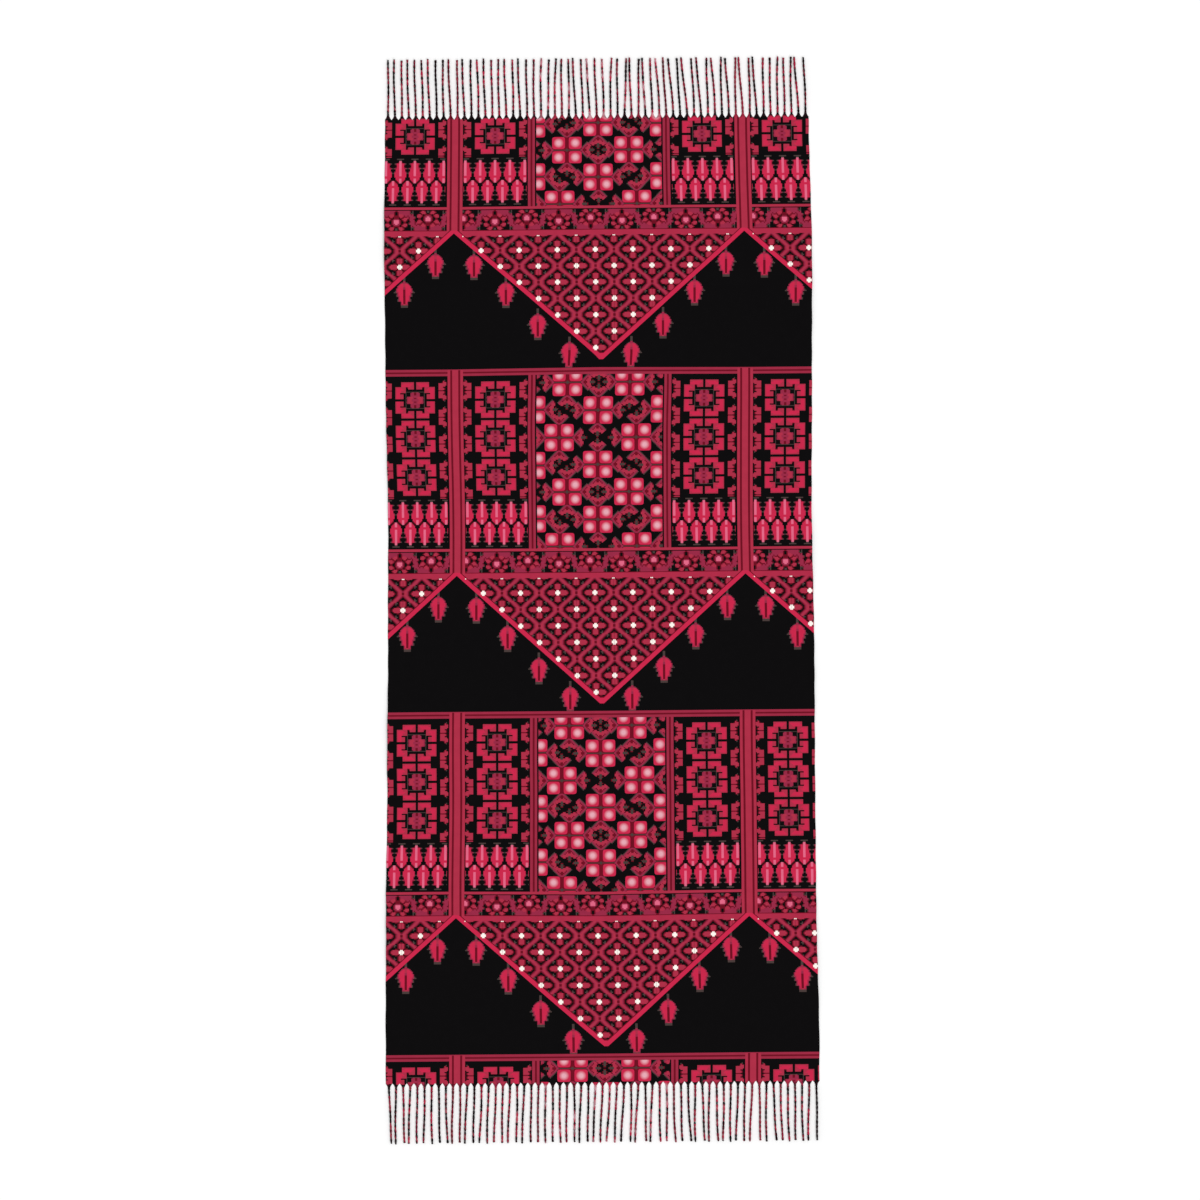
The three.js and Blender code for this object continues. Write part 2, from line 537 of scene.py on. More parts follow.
    def side_panels(self, ink: Field, off_axis: Field, down: Field) -> Field:
        """Three rosettes between two rows of brackets, over two rows of trees.

        Args:
            ink: the ink's number so far.
            off_axis: mm from the repeat's axis.
            down: mm below the repeat's first rule.

        Returns:
            The ink's number with the side panels over it.
        """
        beside = abs(off_axis - self.side_axis)
        from_middle = down.mirrored(self.rosette_middle, self.rosette_reach)
        rosette = ROSETTE.read(beside, from_middle)
        square = calc("MAXIMUM", beside * (1 / self.line_half[0]), from_middle * (1 / self.line_half[1]))
        on_square = calc("COMPARE", square, 1.0, self.line_share)
        rosette = lay_over(rosette, on_square, float(Ink.GREY_BROWN.number))
        ink = lay_over(ink, (beside < self.rosette_half) * down.within(*self.rosettes), rosette)

        from_bracket = down.mirrored(self.bracket_middle, self.bracket_reach)
        bracket = BRACKET.read(self.bracket_outer - beside, from_bracket + self.bracket_lead)
        in_brackets = beside.within(self.bracket_inner, self.bracket_outer) * down.within(*self.brackets)
        ink = lay_over(ink, in_brackets, bracket)

        half_width, half_height = self.trees_half
        below_middle = down - self.trees_middle
        from_upper = calc("PINGPONG", beside, self.tree_pitch)
        lower = below_middle > self.tree_split - from_upper * self.tree_slope
        beside_tree = abs(from_upper - lower * self.tree_pitch)
        tree = TREE.read(beside_tree, below_middle * (1.0 - lower * 2.0) + half_height)
        return lay_over(ink, (beside < half_width) * below_middle.within(-half_height, half_height), tree)

    def flower_strip(self, signed: Field, down: Field) -> Field:
        """Flowers and small steps by turns, each the other upside down.

        Args:
            signed: mm to the right of the repeat's axis.
            down: mm below the repeat's first rule.

        Returns:
            The ink's number.
        """
        flower = self.undrawn(signed).mirrored(self.flower_axis, self.flower_pitch)
        turned = flower > self.flower_pitch / 2
        height = down - self.strip_start
        across = flower + turned * (self.flower_pitch - flower * 2.0)
        along = height + turned * ((self.strip_end - self.strip_start) - height * 2.0)
        return FLOWER_STRIP.read(across, along)

    def chevron_fill(self, signed: Field, down: Field) -> Field:
        """Small blossoms in a lattice of slanting bars."""
        reach_across, reach_along = self.blossom_reach
        return CHEVRON_FILL.read(self.undrawn(signed).mirrored(self.blossom_axis, reach_across),
                                 down.mirrored(self.blossom_top, reach_along))

    def undrawn(self, signed: Field) -> Field:
        """Place across before strip and filler are drawn out to the right of the axis."""
        return signed - calc("MAXIMUM", signed - self.drawn_out_from, 0.0) * self.drawn_out

    def hanging_leaves(self, across: Field, right: Field, down: Field) -> Field:
        """Four leaves on stalks under each side of the chevron, the two upper ones close to its edge.

        Args:
            across: mm from the left selvedge, scaled.
            right: one to the right of the repeat's axis, where the leaves stand wider apart.
            down: mm below the repeat's first rule.

        Returns:
            The ink's number.
        """
        off_axis = across.mirrored(self.leaf_axis, self.half_repeat)
        off_first = off_axis - (right * self.right_shift + self.first_leaf)
        spacing = right * self.right_spread + self.leaf_spacing
        leaf = calc("ROUND", calc("DIVIDE", off_first, spacing))
        leaf = calc("MINIMUM", calc("MAXIMUM", leaf, 0.0), 3.0)
        hang = down - self.leaf_top + leaf * self.leaf_rise + (leaf > 1.5) * self.upper_leaf_rise
        hang = hang + right * (leaf * self.right_rise[1] + self.right_rise[0])
        return LEAF.read(abs(off_first - leaf * spacing), hang)

    def colour(self, across: Field, along: Field) -> bpy.types.NodeSocket:
        """Colour of the print at a place on the cloth.

        Args:
            across: mm from the left selvedge, scaled.
            along: mm from the far edge.

        Returns:
            A colour socket.
        """
        off_axis = across.mirrored(self.axis, self.half_repeat)
        signed = calc("WRAP", across - self.axis, self.half_repeat, -self.half_repeat)
        down = calc("WRAP", along - self.first_rule, self.repeat, 0.0)
        crimson, dark_red, muted, rule_red, narrow_red = (float(ink.number) for ink in (
            Ink.CRIMSON, Ink.DARK_RED, Ink.MUTED_RED, Ink.RULE_RED, Ink.NARROW_RED))

        in_panels = down.within(self.top_rule, self.panels_end)
        panel, glow = self.centre_panel(signed, down)
        off_centre = abs(signed + self.narrow_shift)
        in_centre = (off_centre < self.narrow_inner - self.panel_gap) * in_panels
        ink = panel * in_centre
        glow = glow * in_centre
        ink = self.side_panels(ink, off_axis, down)

        narrow = lay_over(narrow_red, off_centre.within(*self.narrow_line), dark_red)
        ink = lay_over(ink, off_centre.within(self.narrow_inner, self.narrow_outer) * in_panels, narrow)

        thin_rule = (down < self.panels_end + self.thin_rule) * muted
        ink = lay_over(ink, down.within(self.panels_end, self.strip_start), thin_rule)
        ink = lay_over(ink, down.within(self.strip_start, self.strip_end), self.flower_strip(signed, down))
        ink = lay_over(ink, down > self.fill_start, self.chevron_fill(signed, down))
        thick_rule = lay_over(dark_red, down > self.strip_end + self.thick_rule_rim, rule_red)
        ink = lay_over(ink, down.within(self.strip_end, self.fill_start), thick_rule)

        top = lay_over(narrow_red, down.within(*self.top_line), dark_red)
        ink = lay_over(ink, down < self.top_rule, top)
        from_side = self.half_repeat - across.mirrored(self.wide_axis, self.half_repeat)
        wide = lay_over(muted, from_side.within(*self.wide_line), dark_red)
        ink = lay_over(ink, (from_side < self.wide_half) * (down > self.band_start), wide)

        edge = calc("MINIMUM", self.edge_start - off_axis * self.edge_slope, self.tip)
        above_edge = edge - down
        line = lay_over(crimson, above_edge > self.edge_line, dark_red)
        white_dot = calc("COMPARE", ink, float(Ink.WHITE.number), 0.5) * (above_edge > self.dot_start)
        on_line = (above_edge < self.edge_height) * (down > self.strip_end)
        ink = lay_over(ink, on_line * (1.0 - white_dot), line)
        ink = lay_over(ink, above_edge < 0.0, self.hanging_leaves(across, signed > 0.0, down))

        inks = [linear_colour(ink_kind.value[1]) for ink_kind in Ink]
        printed = constant_ramp((ink + 0.5) * (1 / len(inks)), inks, len(inks))
        return mix_colour(glow, printed, linear_colour(self.pale_pink))


@dataclass(frozen=True)
class WovenFinish:
    """Acrylic yarn, spun soft and matt and printed after weaving.

    Roughness is near one and the mirror reflection almost nil, because the fibres scatter light,
    and a faint sheen comes from the loose fibre ends.
    """

    name: str
    roughness: float = 0.86
    specular: float = 0.02
    sheen: float = 0.03
    sheen_roughness: float = 0.5
    sheen_tint: str = "B9A7AE"
    cloud_size: float = 14.0
    cloud_depth: float = 0.10

    def start(self) -> tuple[bpy.types.Material, bpy.types.Node, Field, Field, Field]:
        """Make the material with its shader, and read the print's place on the surface.

        Returns:
            The material, its Principled node, mm across, mm along and how far it is the reverse.
        """
        material = bpy.data.materials.new(self.name)
        material.use_nodes = True
        tree = material.node_tree
        tree.nodes.clear()
        place = add_node(tree, "ShaderNodeAttribute", {}, attribute_name="print_place")
        parts = add_node(tree, "ShaderNodeSeparateXYZ", {0: place.outputs["Vector"]})
        shader = add_node(tree, "ShaderNodeBsdfPrincipled", {
            "Specular IOR Level": self.specular,
            "Sheen Weight": self.sheen,
            "Sheen Roughness": self.sheen_roughness,
            "Sheen Tint": linear_colour(self.sheen_tint),
        })
        add_node(tree, "ShaderNodeOutputMaterial", {"Surface": shader.outputs[0]})
        across, along, reverse = (Field(parts.outputs[axis]) for axis in range(3))
        return material, shader, across, along, reverse

    def noise(self, across: Field, along: Field, size: float, detail: float = 2.0) -> Field:
        """Soft noise on the cloth with lumps of about the given size in mm."""
        tree = across.socket.id_data
        place = add_node(tree, "ShaderNodeCombineXYZ", {0: across, 1: along})
        noise = add_node(tree, "ShaderNodeTexNoise",
                         {"Vector": place.outputs[0], "Scale": 1.0 / size, "Detail": detail})
        return Field(noise.outputs[0])

    def uneven(self, colour: bpy.types.NodeSocket, across: Field, along: Field) -> bpy.types.NodeSocket:
        """Make a colour a little lighter and darker in clouds, as dye takes unevenly."""
        cloud = self.noise(across, along, self.cloud_size)
        shade = calc("MULTIPLY_ADD", cloud, self.cloud_depth * 2, 1.0 - self.cloud_depth)
        tree = across.socket.id_data
        shaded = add_node(tree, "ShaderNodeVectorMath", {0: colour, "Scale": shade}, operation="SCALE")
        return shaded.outputs[0]

    def rough(self, shader: bpy.types.Node, height: Field, depth: float) -> None:
        """Link the roughness and a bump to a height field.

        Args:
            shader: the Principled node.
            height: nought to one.
            depth: mm from the lowest to the highest.
        """
        tree = shader.id_data
        tree.links.new(calc("MULTIPLY_ADD", height, 0.08, self.roughness - 0.04).socket,
                       shader.inputs["Roughness"])
        bump = add_node(tree, "ShaderNodeBump",
                        {"Strength": 0.6, "Distance": depth * MM, "Height": height})
        tree.links.new(bump.outputs[0], shader.inputs["Normal"])


@dataclass(frozen=True)
class PrintedTwill(WovenFinish):
    """Acrylic twill with a soft face, printed on one side.

    The twill's wales really stand 0.8 mm apart. They are drawn 2.4 mm apart, so that they show.
    """

    name: str = "printed_acrylic_twill"
    wale_pitch: float = 2.4
    reverse_fade: float = 0.62
    reverse_ground: str = "4A4446"

    def build(self, pattern: ShawlPrint) -> bpy.types.Material:
        """Build the material around a print."""
        material, shader, across, along, reverse = self.start()
        colour = self.uneven(pattern.colour(across, along), across, along)
        colour = mix_colour(reverse * self.reverse_fade, colour, linear_colour(self.reverse_ground))
        shader.id_data.links.new(colour, shader.inputs["Base Color"])
        wale = calc("SINE", (across + along * 0.8) * (2 * math.pi / self.wale_pitch))
        thread = calc("SINE", (along - across * 0.5) * (2 * math.pi / (self.wale_pitch * 0.5)))
        height = wale * 0.22 + thread * 0.12 + self.noise(across, along, 3.0, 3.0) * 0.66
        self.rough(shader, height, 0.22)
        return material


@dataclass(frozen=True)
class TwistedYarn(WovenFinish):
    """The printed warp yarns of the cloth, gathered and twisted two-ply.

    Each strand goes on with the print of its own yarns, in long runs of black and red. Twisting
    turns the yarns' unprinted side outwards here and there, which darkens the print.
    """

    name: str = "twisted_acrylic_yarn"
    unprinted: str = "2A1218"
    hidden_length: float = 12.0
    hidden_contrast: float = 2.6
    least_hidden: float = 0.15
    most_hidden: float = 0.9
    usual_hidden: float = 0.4
    fibre_pitch: float = 1.3
    fuzz_size: float = 1.6
    fuzz_share: float = 0.7
    fibre_share: float = 0.3
    fibre_depth: float = 0.2

    def build(self, pattern: ShawlPrint) -> bpy.types.Material:
        """Build the material around a print."""
        material, shader, across, along, _ = self.start()
        hidden = self.noise(across, along, self.hidden_length) - 0.5
        hidden = calc("MULTIPLY_ADD", hidden, self.hidden_contrast, self.usual_hidden)
        hidden = calc("MINIMUM", calc("MAXIMUM", hidden, self.least_hidden), self.most_hidden)
        colour = mix_colour(hidden, pattern.colour(across, along), linear_colour(self.unprinted))
        shader.id_data.links.new(colour, shader.inputs["Base Color"])
        ridge = calc("SINE", across * (2 * math.pi / self.fibre_pitch))
        fuzz = self.noise(across, along, self.fuzz_size, 3.0)
        self.rough(shader, ridge * self.fibre_share + fuzz * self.fuzz_share, self.fibre_depth)
        return material


@dataclass(frozen=True)
class PaleFloor:
    """Matt pale studio board with a faint mottle, which the photograph shows as plain white."""

    name: str = "pale_studio_board"
    pale: str = "F7F7F7"
    shade: str = "F4F4F4"
    mottle: float = 3.0

    def build(self) -> bpy.types.Material:
        """Build the material on object coordinates."""
        material = bpy.data.materials.new(self.name)
        material.use_nodes = True
        tree = material.node_tree
        tree.nodes.clear()
        place = add_node(tree, "ShaderNodeTexCoord", {})
        noise = add_node(tree, "ShaderNodeTexNoise",
                         {"Vector": place.outputs["Object"], "Scale": self.mottle, "Detail": 3.0})
        colour = mix_colour(Field(noise.outputs[0]), linear_colour(self.pale), linear_colour(self.shade))
        shader = add_node(tree, "ShaderNodeBsdfPrincipled",
                          {"Base Color": colour, "Roughness": 0.9, "Specular IOR Level": 0.1})
        add_node(tree, "ShaderNodeOutputMaterial", {"Surface": shader.outputs[0]})
        return material


def table_curve(rows: Rows, column: int, places: np.ndarray) -> np.ndarray:
    """Read a table with a smooth step, 3t^2 - 2t^3, from each row to the next.

    Args:
        rows: the table, with the place in its first column, in rising order.
        column: the column that is read.
        places: where it is read.

    Returns:
        One value for each place.
    """
    table = np.array(rows)
    start = np.clip(np.searchsorted(table[:, 0], places, side="right") - 1, 0, len(table) - 2)
    share = np.clip((places - table[start, 0]) / (table[start + 1, 0] - table[start, 0]), 0, 1)
    share = share * share * (3 - 2 * share)
    return table[start, column] + (table[start + 1, column] - table[start, column]) * share


def bump(distance: np.ndarray) -> np.ndarray:
    """A soft hump one high at nought, (1 + cos(pi d)) / 2, and flat beyond one."""
    return np.where(np.abs(distance) < 1, 0.5 + 0.5 * np.cos(np.pi * distance), 0.0)


@dataclass
class Surface:
    """Points and faces of one closed piece, gathered before they go into a mesh."""

    points: np.ndarray
    print_place: np.ndarray
    faces: list[np.ndarray]
    face_uvs: list[np.ndarray]

    def to_object(self, name: str, material: bpy.types.Material) -> bpy.types.Object:
        """Make the mesh object, smooth shaded, with the print's place and the bake's UV map.

        Args:
            name: the piece's name.
            material: its material.

        Returns:
            The new object, at the origin, in metres.
        """
        mesh = bpy.data.meshes.new(name)
        sizes = np.concatenate([np.full(len(part), part.shape[1]) for part in self.faces])
        corners = np.concatenate([part.ravel() for part in self.faces]).astype(np.int32)
        mesh.vertices.add(len(self.points))
        mesh.vertices.foreach_set("co", (self.points * MM).astype(np.float32).ravel())
        mesh.loops.add(len(corners))
        mesh.loops.foreach_set("vertex_index", corners)
        mesh.polygons.add(len(sizes))
        starts = np.concatenate([[0], np.cumsum(sizes)[:-1]]).astype(np.int32)
        mesh.polygons.foreach_set("loop_start", starts)
        mesh.update(calc_edges=True)
        mesh.validate(verbose=False)
        mesh.shade_smooth()
        place = mesh.attributes.new("print_place", "FLOAT_VECTOR", "POINT")
        place.data.foreach_set("vector", self.print_place.astype(np.float32).ravel())
        uv = mesh.uv_layers.new(name="OFBake")
        flat = np.concatenate([part.reshape(-1, 2) for part in self.face_uvs])
        uv.data.foreach_set("uv", flat.astype(np.float32).ravel())
        mesh.materials.append(material)
        piece = bpy.data.objects.new(name, mesh)
        bpy.context.scene.collection.objects.link(piece)
        triangles = int((sizes - 2).sum())
        log.info("%s: %d points, %d triangles", name, len(self.points), triangles)
        return piece


# The selvedges. Columns: mm from the far edge; how far left and how far right of the middle line.
SIDE_STATIONS: Rows = (
    (0, 347.2, 351.8), (220, 350.0, 355.6), (437, 349.5, 354.0), (655, 347.0, 351.8), (873, 348.8, 354.4),
    (1091, 351.7, 354.2), (1308, 355.3, 354.5), (1526, 357.6, 358.0), (1595, 358.0, 357.5),
)
# Columns: side, -1 for the left; mm from the far edge; half length; reach inwards; rise.
SWELLS: Rows = (
    (-1, 205, 130, 95, 3.2), (-1, 560, 150, 120, 2.2), (-1, 1010, 120, 80, 3.6), (-1, 1330, 140, 110, 2.6),
    (1, 300, 150, 110, 2.8), (1, 700, 115, 75, 3.4), (1, 930, 110, 130, 2.0), (1, 1390, 150, 100, 3.0),
)
# How far strands' tips stand aside, in mm. Columns: strand; lean; lean by turns; stray.
FAR_LEANS: Rows = (
    (0, 1.2, 0.4, 0.6), (4, -1.2, 0.3, 1.6), (12, -1.0, 0.5, 2.0), (20, -1.2, 0.6, 1.2), (23, 3.0, 0.5, 1.0),
    (29, -4.0, 1.0, 1.4), (33, 2.6, 2.2, 1.4), (39, -4.4, 1.6, 1.6), (42, -7.2, 1.4, 1.2),
    (48, -2.6, 2.9, 1.0), (53, -3.4, 2.4, 1.0), (56, 0.8, 1.2, 1.2), (60, -4.6, 2.2, 0.8),
)
NEAR_LEANS: Rows = (
    (0, 2.6, 1.8, 0.8), (4, -2.0, 1.2, 1.4), (7, 2.2, 0.4, 1.0), (11, -2.8, 1.0, 1.2), (19, -2.4, 0.8, 1.0),
    (24, 0.6, 1.0, 1.4), (31, -4.6, 1.0, 1.0), (36, -1.8, 2.4, 1.6), (41, 3.2, 1.2, 1.2),
    (46, 1.0, 1.8, 1.4), (50, -3.4, 1.2, 1.2), (54, 3.4, 1.2, 1.6), (60, -0.2, 1.4, 1.2),
)
STRANDS = 61
OUTER_STRAND_INSET = 5.2
PRINT_WIDTH = 700.0
WIDE_BANDS = (113.3, 589.5)

# Share by which the print is drawn together to the left of the left wide band.
OUTER_DRIFT = 0.025

# How far the print wavers, in mm. Columns: from the far edge; then to the right at the left wide
# band, the middle and the right wide band; then towards the near edge at the same three places.
PRINT_DRIFTS: Rows = (
    (0, 2.5, 4.0, 0.5, 4.0, 3.0, 2.5), (110, 2.0, 3.5, 0.5, 2.0, 1.0, 1.0),
    (200, 1.5, 4.5, 1.0, 0.5, -0.5, -0.5), (300, 1.0, 5.0, 1.0, -2.0, -2.0, -2.0),
    (385, 1.0, 4.5, 1.0, -1.0, -2.5, -1.5),
    (416, 1.0, 2.5, 1.0, 1.5, -0.5, 1.0), (530, 0.5, -1.0, 0.5, 0.5, 1.0, 0.5),
    (685, 1.0, -1.5, 0.5, -0.5, 0.0, -1.0), (840, 0.5, 0.0, 0.5, -0.5, -0.5, -1.0),
    (1000, 0.5, 1.0, 0.5, 0.5, 0.5, 0.0), (1160, 1.0, 1.0, 1.5, 0.5, 1.0, -0.5),
    (1250, 1.0, 2.0, 2.0, -1.0, 1.0, -1.5), (1400, 1.0, 4.0, 2.5, -2.5, 0.0, -2.5),
    (1550, 1.5, 5.5, 3.5, 0.0, 0.0, -0.5),
)


def print_place(share: np.ndarray, from_far: np.ndarray, reverse: float) -> np.ndarray:
    """Place in the regular print that lies at a place on the cloth, less the print's drift there.

    The drift runs straight from the left wide band to the middle and on to the right one. Outside
    these it stays as it is there, but to the left it also grows with the distance from the band.

    Args:
        share: share of the cloth's width from the left selvedge.
        from_far: mm from the far edge.
        reverse: one on the cloth's unprinted side, otherwise nought.

    Returns:
        mm across, mm along and the reverse, in a last axis of three.
    """
    across = share * PRINT_WIDTH
    towards_right = np.clip(2 * (across - WIDE_BANDS[0]) / (WIDE_BANDS[1] - WIDE_BANDS[0]), 0, 2)
    weights = [np.clip(1 - np.abs(towards_right - place), 0, 1) for place in range(3)]

    def drift(first_column: int) -> np.ndarray:
        """The drift read from three columns and weighted by the nearness of their places."""
        return sum(weight * table_curve(PRINT_DRIFTS, first_column + place, from_far)
                   for place, weight in enumerate(weights))

    drawn_right = OUTER_DRIFT * np.maximum(WIDE_BANDS[0] - across, 0)
    return np.stack([across - drift(1) - drawn_right, from_far - drift(4), np.full_like(across, reverse)],
                    axis=-1)


@dataclass
class ClothPanel:
    """The cloth: one closed shell lying on the surface, with soft swells along its selvedges."""

    length: float = 1595.0
    thickness: float = 1.05
    clearance: float = 0.05
    rim_inset: float = 0.25
    undulation: float = 0.45
    pucker: float = 0.22
    notch_depth: float = 2.7
    seam_share: float = 0.715

    # Lines of the grid, in mm from a side or an end, closer together towards the rim.
    side_lines: tuple[float, ...] = (0.9, 2.2, 3.7)
    end_lines: tuple[float, ...] = (0.9, 1.8, 3.0, 4.5, 6.5, 9.0, 12.0, 16.0, 22.0, 30.0)
    body_start: float = 41.0
    body_lines: int = 122

    # Small forms of the rim: the waver's depth, the rim's thinning, and how far in each form fades.
    side_waver: float = 0.3
    waver_reach: float = 12.0
    notch_reach: float = 12.0
    pucker_reach: float = 8.0
    flat_end_reach: float = 30.0
    rim_thinning: float = 0.4
    rim_reach: float = 0.35

    def stations(self) -> tuple[np.ndarray, np.ndarray]:
        """Where the grid's lines run: as shares of the width, and in mm from the far edge."""
        margin = OUTER_STRAND_INSET
        nominal = PRINT_WIDTH
        outer = np.array([self.rim_inset, *self.side_lines])
        middle = np.linspace(margin, nominal - margin, 4 * (STRANDS - 1) + 1)
        shares = np.concatenate([outer, middle, nominal - outer[::-1]]) / nominal
        end = np.array([self.rim_inset, *self.end_lines])
        body = np.linspace(self.body_start, self.length - self.body_start, self.body_lines)
        return shares, np.concatenate([end, body, self.length - end[::-1]])

    def lift(self, x: np.ndarray, from_far: np.ndarray) -> np.ndarray:
        """Height of the swells: each is its rise times a hump along and a hump in from its selvedge."""
        left = table_curve(SIDE_STATIONS, 1, from_far)
        right = table_curve(SIDE_STATIONS, 2, from_far)
        total = np.zeros_like(x)
        for side, centre, half_length, reach, rise in SWELLS:
            edge = -left if side < 0 else right
            inward = np.minimum(1, np.abs(edge - x) / reach)
            total += rise * bump((from_far - centre) / half_length) * bump(inward)
        return total

    def relief(self, x: np.ndarray, from_far: np.ndarray) -> np.ndarray:
        """Slight unevenness of cloth that lies loose: four crossed waves, never below nought."""
        waves = (np.sin(x / 31 + from_far / 57) + np.sin(x / 47 - from_far / 38 + 1.3)
                 + np.sin(x / 23 + from_far / 91 + 2.1) + np.sin(from_far / 29 + 0.4 * np.sin(x / 60)))
        return self.undulation * (0.5 + waves / 8)

    def build(self, material: bpy.types.Material) -> bpy.types.Object:
        """Build the shell from its two sheets and a rounded rim.

        Args:
            material: the printed cloth.

        Returns:
            The piece.
        """
        shares, from_far = self.stations()
        share, away = np.meshgrid(shares, from_far)
        left = table_curve(SIDE_STATIONS, 1, away)
        right = table_curve(SIDE_STATIONS, 2, away)
        to_side = np.minimum(share, 1 - share) * PRINT_WIDTH
        wave = np.sin(away / 9.7 + 2 * np.sin(away / 71))
        waver = self.side_waver * wave * np.exp(-to_side / self.waver_reach)
        x = -left + share * (left + right) + waver
        to_end = np.minimum(away, self.length - away)
        strand_pitch = (PRINT_WIDTH - 2 * OUTER_STRAND_INSET) / (STRANDS - 1)
        strand = (share * PRINT_WIDTH - OUTER_STRAND_INSET) / strand_pitch
        between = 0.5 - 0.5 * np.cos(2 * np.pi * strand)
        off_strand = np.abs(strand - np.round(strand))
        drawn_in = self.notch_depth * 2 * off_strand * np.exp(-to_end / self.notch_reach)
        towards_far = np.where(away < self.length / 2, -1.0, 1.0)
        y = self.length / 2 - away + towards_far * drawn_in
        to_rim = np.minimum(to_side, to_end)
        thinner = self.rim_thinning * np.exp(-(to_rim - self.rim_inset) / self.rim_reach)
        half = self.thickness / 2 * (1 - thinner)
        middle = (self.clearance + self.thickness / 2 + self.lift(x, away)
                  + self.relief(x, away) * (1 - np.exp(-to_end / self.flat_end_reach)))
        ridge = self.pucker * (0.5 - between) * np.exp(-to_end / self.pucker_reach)
        top = np.stack([x, y, middle + half + ridge], axis=-1)
        under = np.stack([x, y, middle - half], axis=-1)

        rows, columns = share.shape
        index = np.arange(rows * columns).reshape(rows, columns)
        loop = np.concatenate([index[:-1, 0], index[-1, :-1], index[:0:-1, -1], index[0, :0:-1]])
        rim = ((top + under) / 2).reshape(-1, 3)[loop]
        at_row, at_column = loop // columns, loop % columns
        rim[:, 0] += self.rim_inset * ((at_column == columns - 1).astype(float) - (at_column == 0))
        rim[:, 1] += self.rim_inset * ((at_row == 0).astype(float) - (at_row == rows - 1))

        place = print_place(share, away - towards_far * drawn_in, 0.0).reshape(-1, 3)
        behind = place + [0, 0, 1]
        points = np.concatenate([top.reshape(-1, 3), under.reshape(-1, 3), rim])
        faces, uvs = self.faces(index, loop, shares, from_far)
        surface = Surface(points, np.concatenate([place, behind, place[loop]]), faces, uvs)
        return surface.to_object("cloth", material)

    def faces(self, index: np.ndarray, loop: np.ndarray, shares: np.ndarray,
              from_far: np.ndarray) -> tuple[list[np.ndarray], list[np.ndarray]]:
        """Faces of the shell and their places in the bake's UV map.

        The face side fills most of the map in two strips, the second turned a quarter. The reverse
        has a smaller patch, and the rim a thin strip along the top.

        Args:
            index: point numbers of the top sheet, by row and column.
            loop: its rim, counter-clockwise from above.
            shares: the columns' places across.
            from_far: the rows' places along, in mm.

        Returns:
            Groups of faces, and the UVs of their corners.
        """
        count = index.size
        corner_rows = np.array([[0, 1, 1, 0]])
        corner_columns = np.array([[0, 0, 1, 1]])
        row, column = np.meshgrid(np.arange(len(from_far) - 1), np.arange(len(shares) - 1), indexing="ij")
        at_row = row.reshape(-1, 1) + corner_rows
        at_column = column.reshape(-1, 1) + corner_columns
        quads = index[at_row, at_column]
        across, along = shares[at_column], from_far[at_row] / self.length

        scale = 0.85 * self.length * MM
        width = 0.85 * PRINT_WIDTH * MM
        cut = int(np.searchsorted(from_far, self.seam_share * self.length))
        cut_along = from_far[cut] / self.length
        first = np.stack([0.005 + width * across, 0.976 - scale * along], axis=-1)
        second = np.stack([0.607 + scale * (along - cut_along), 0.005 + width * across], axis=-1)
        top_uv = np.where((at_row[:, :1] < cut)[..., None], first, second)
        under_uv = np.stack([0.61 + 0.37 * (1 - across), 0.61 + 0.36 * (1 - along)], axis=-1)

        after = np.roll(loop, -1)
        rim_count = len(loop)
        rim_index = 2 * count + np.arange(rim_count)
        rim_after = np.roll(rim_index, -1)
        upper = np.stack([loop, rim_index, rim_after, after], axis=-1)
        lower = np.stack([rim_index, loop + count, after + count, rim_after], axis=-1)
        start = 0.01 + 0.98 * np.arange(rim_count) / rim_count
        stop = start + 0.98 / rim_count
        high, mid, low = (np.full(rim_count, level) for level in (0.996, 0.990, 0.984))
        upper_uv = np.stack([start, high, start, mid, stop, mid, stop, high], axis=-1).reshape(-1, 4, 2)
        lower_uv = np.stack([start, mid, start, low, stop, low, stop, mid], axis=-1).reshape(-1, 4, 2)
        return ([quads, quads[:, ::-1] + count, upper, lower],
                [top_uv, under_uv[:, ::-1], upper_uv, lower_uv])


